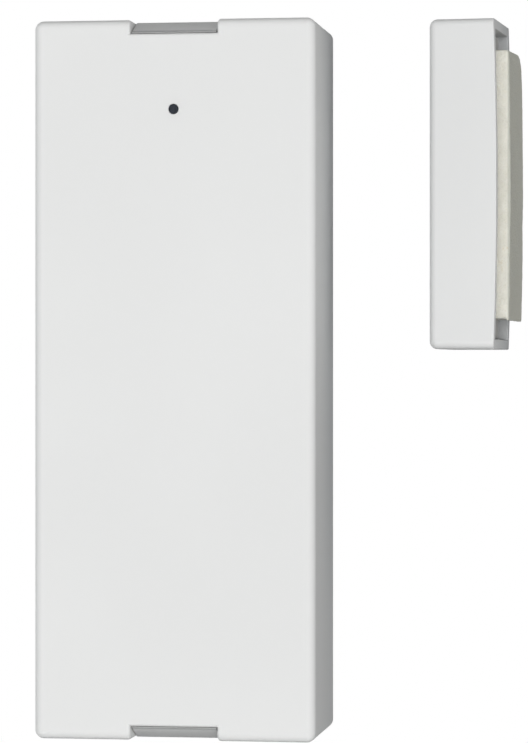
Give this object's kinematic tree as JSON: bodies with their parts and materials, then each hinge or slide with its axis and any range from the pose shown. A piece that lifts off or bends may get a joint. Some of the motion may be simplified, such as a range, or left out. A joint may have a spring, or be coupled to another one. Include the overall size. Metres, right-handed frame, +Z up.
{
  "type": "magnetic door contact",
  "caption": "Two-part magnetic door contact: a tall flat-fronted sensor case with a snap-off cover, and a short magnet case on a foam pad.",
  "frame": {"origin": "centre of the face that the sensor half's foam pad turns to the wall", "axes": "+Z up the length of the sensor half, +Y from its front into the wall, +X towards the magnet half"},
  "size_m": [0.0479, 0.016, 0.0721],
  "materials": {
    "case_plastic": "fine moulded satin",
    "base_plastic": "fine moulded satin",
    "smoked_lens": "clear dark, polished end",
    "foam": "closed-cell foam, matt",
    "board_laminate": "green solder mask over glass laminate",
    "black_resin": "moulded epoxy",
    "holder_plastic": "moulded nylon",
    "tinned_metal": "bright tin",
    "cell_steel": "nickel-plated, fine brushed",
    "spring_metal": "nickel-plated spring strip",
    "screw_steel": "zinc-plated",
    "reed_glass": "clear, slightly green",
    "copper_wire": "enamelled copper",
    "can_metal": "drawn nickel",
    "capacitor_metal": "drawn aluminium",
    "lamp_lens": "clear red resin",
    "ceramic_brown": "fired ceramic",
    "red_plastic": "moulded",
    "magnet_metal": "nickel-plated"
  },
  "bodies": {
    "sensor_base": {"rear_base": "base_plastic", "sensor_foam_pad": "foam", "circuit_board": "board_laminate", "board_screws": "screw_steel", "reed_capsule": "reed_glass", "reed_blade_upper": "tinned_metal", "reed_blade_lower": "tinned_metal", "cell_holder": "holder_plastic", "coin_cell": "cell_steel", "cell_clip_positive": "spring_metal", "cell_contact_negative": "spring_metal", "tamper_switch_body": "black_resin", "learn_switch_body": "black_resin", "switch_terminals": "tinned_metal", "controller_chip": "black_resin", "controller_leads": "tinned_metal", "radio_transistor": "black_resin", "transistor_leads": "tinned_metal", "resonator_can": "can_metal", "antenna_coil": "copper_wire", "storage_capacitor": "capacitor_metal", "status_led": "lamp_lens", "chip_resistors": "black_resin", "chip_capacitors": "ceramic_brown"},
    "cover": {"front_cover": "case_plastic", "light_pipe": "smoked_lens"},
    "tamper_plunger": {"tamper_plunger": "red_plastic"},
    "learn_button": {"learn_button": "holder_plastic"},
    "magnet_half": {"magnet_cover": "case_plastic", "magnet_carrier": "base_plastic", "bar_magnet": "magnet_metal", "magnet_foam_pad": "foam"}
  },
  "joints": [
    {"name": "cover_release", "type": "slide", "parent": "sensor_base", "child": "cover", "axis": [0, -1, 0], "range_m": [0, 0.02]},
    {"name": "tamper_rise", "type": "slide", "parent": "sensor_base", "child": "tamper_plunger", "axis": [0, -1, 0], "range_m": [0, 0.0008]},
    {"name": "learn_press", "type": "slide", "parent": "sensor_base", "child": "learn_button", "axis": [0, 1, 0], "range_m": [0, 0.00025], "stiffness_N_per_m": 1500},
    {"name": "door_travel", "type": "slide", "parent": "sensor_base", "child": "magnet_half", "axis": [1, 0, 0], "range_m": [0, 0.03]}
  ],
  "couplings": [
    {"joint": "tamper_rise", "follows": "cover_release", "ratio": 0.04}
  ]
}
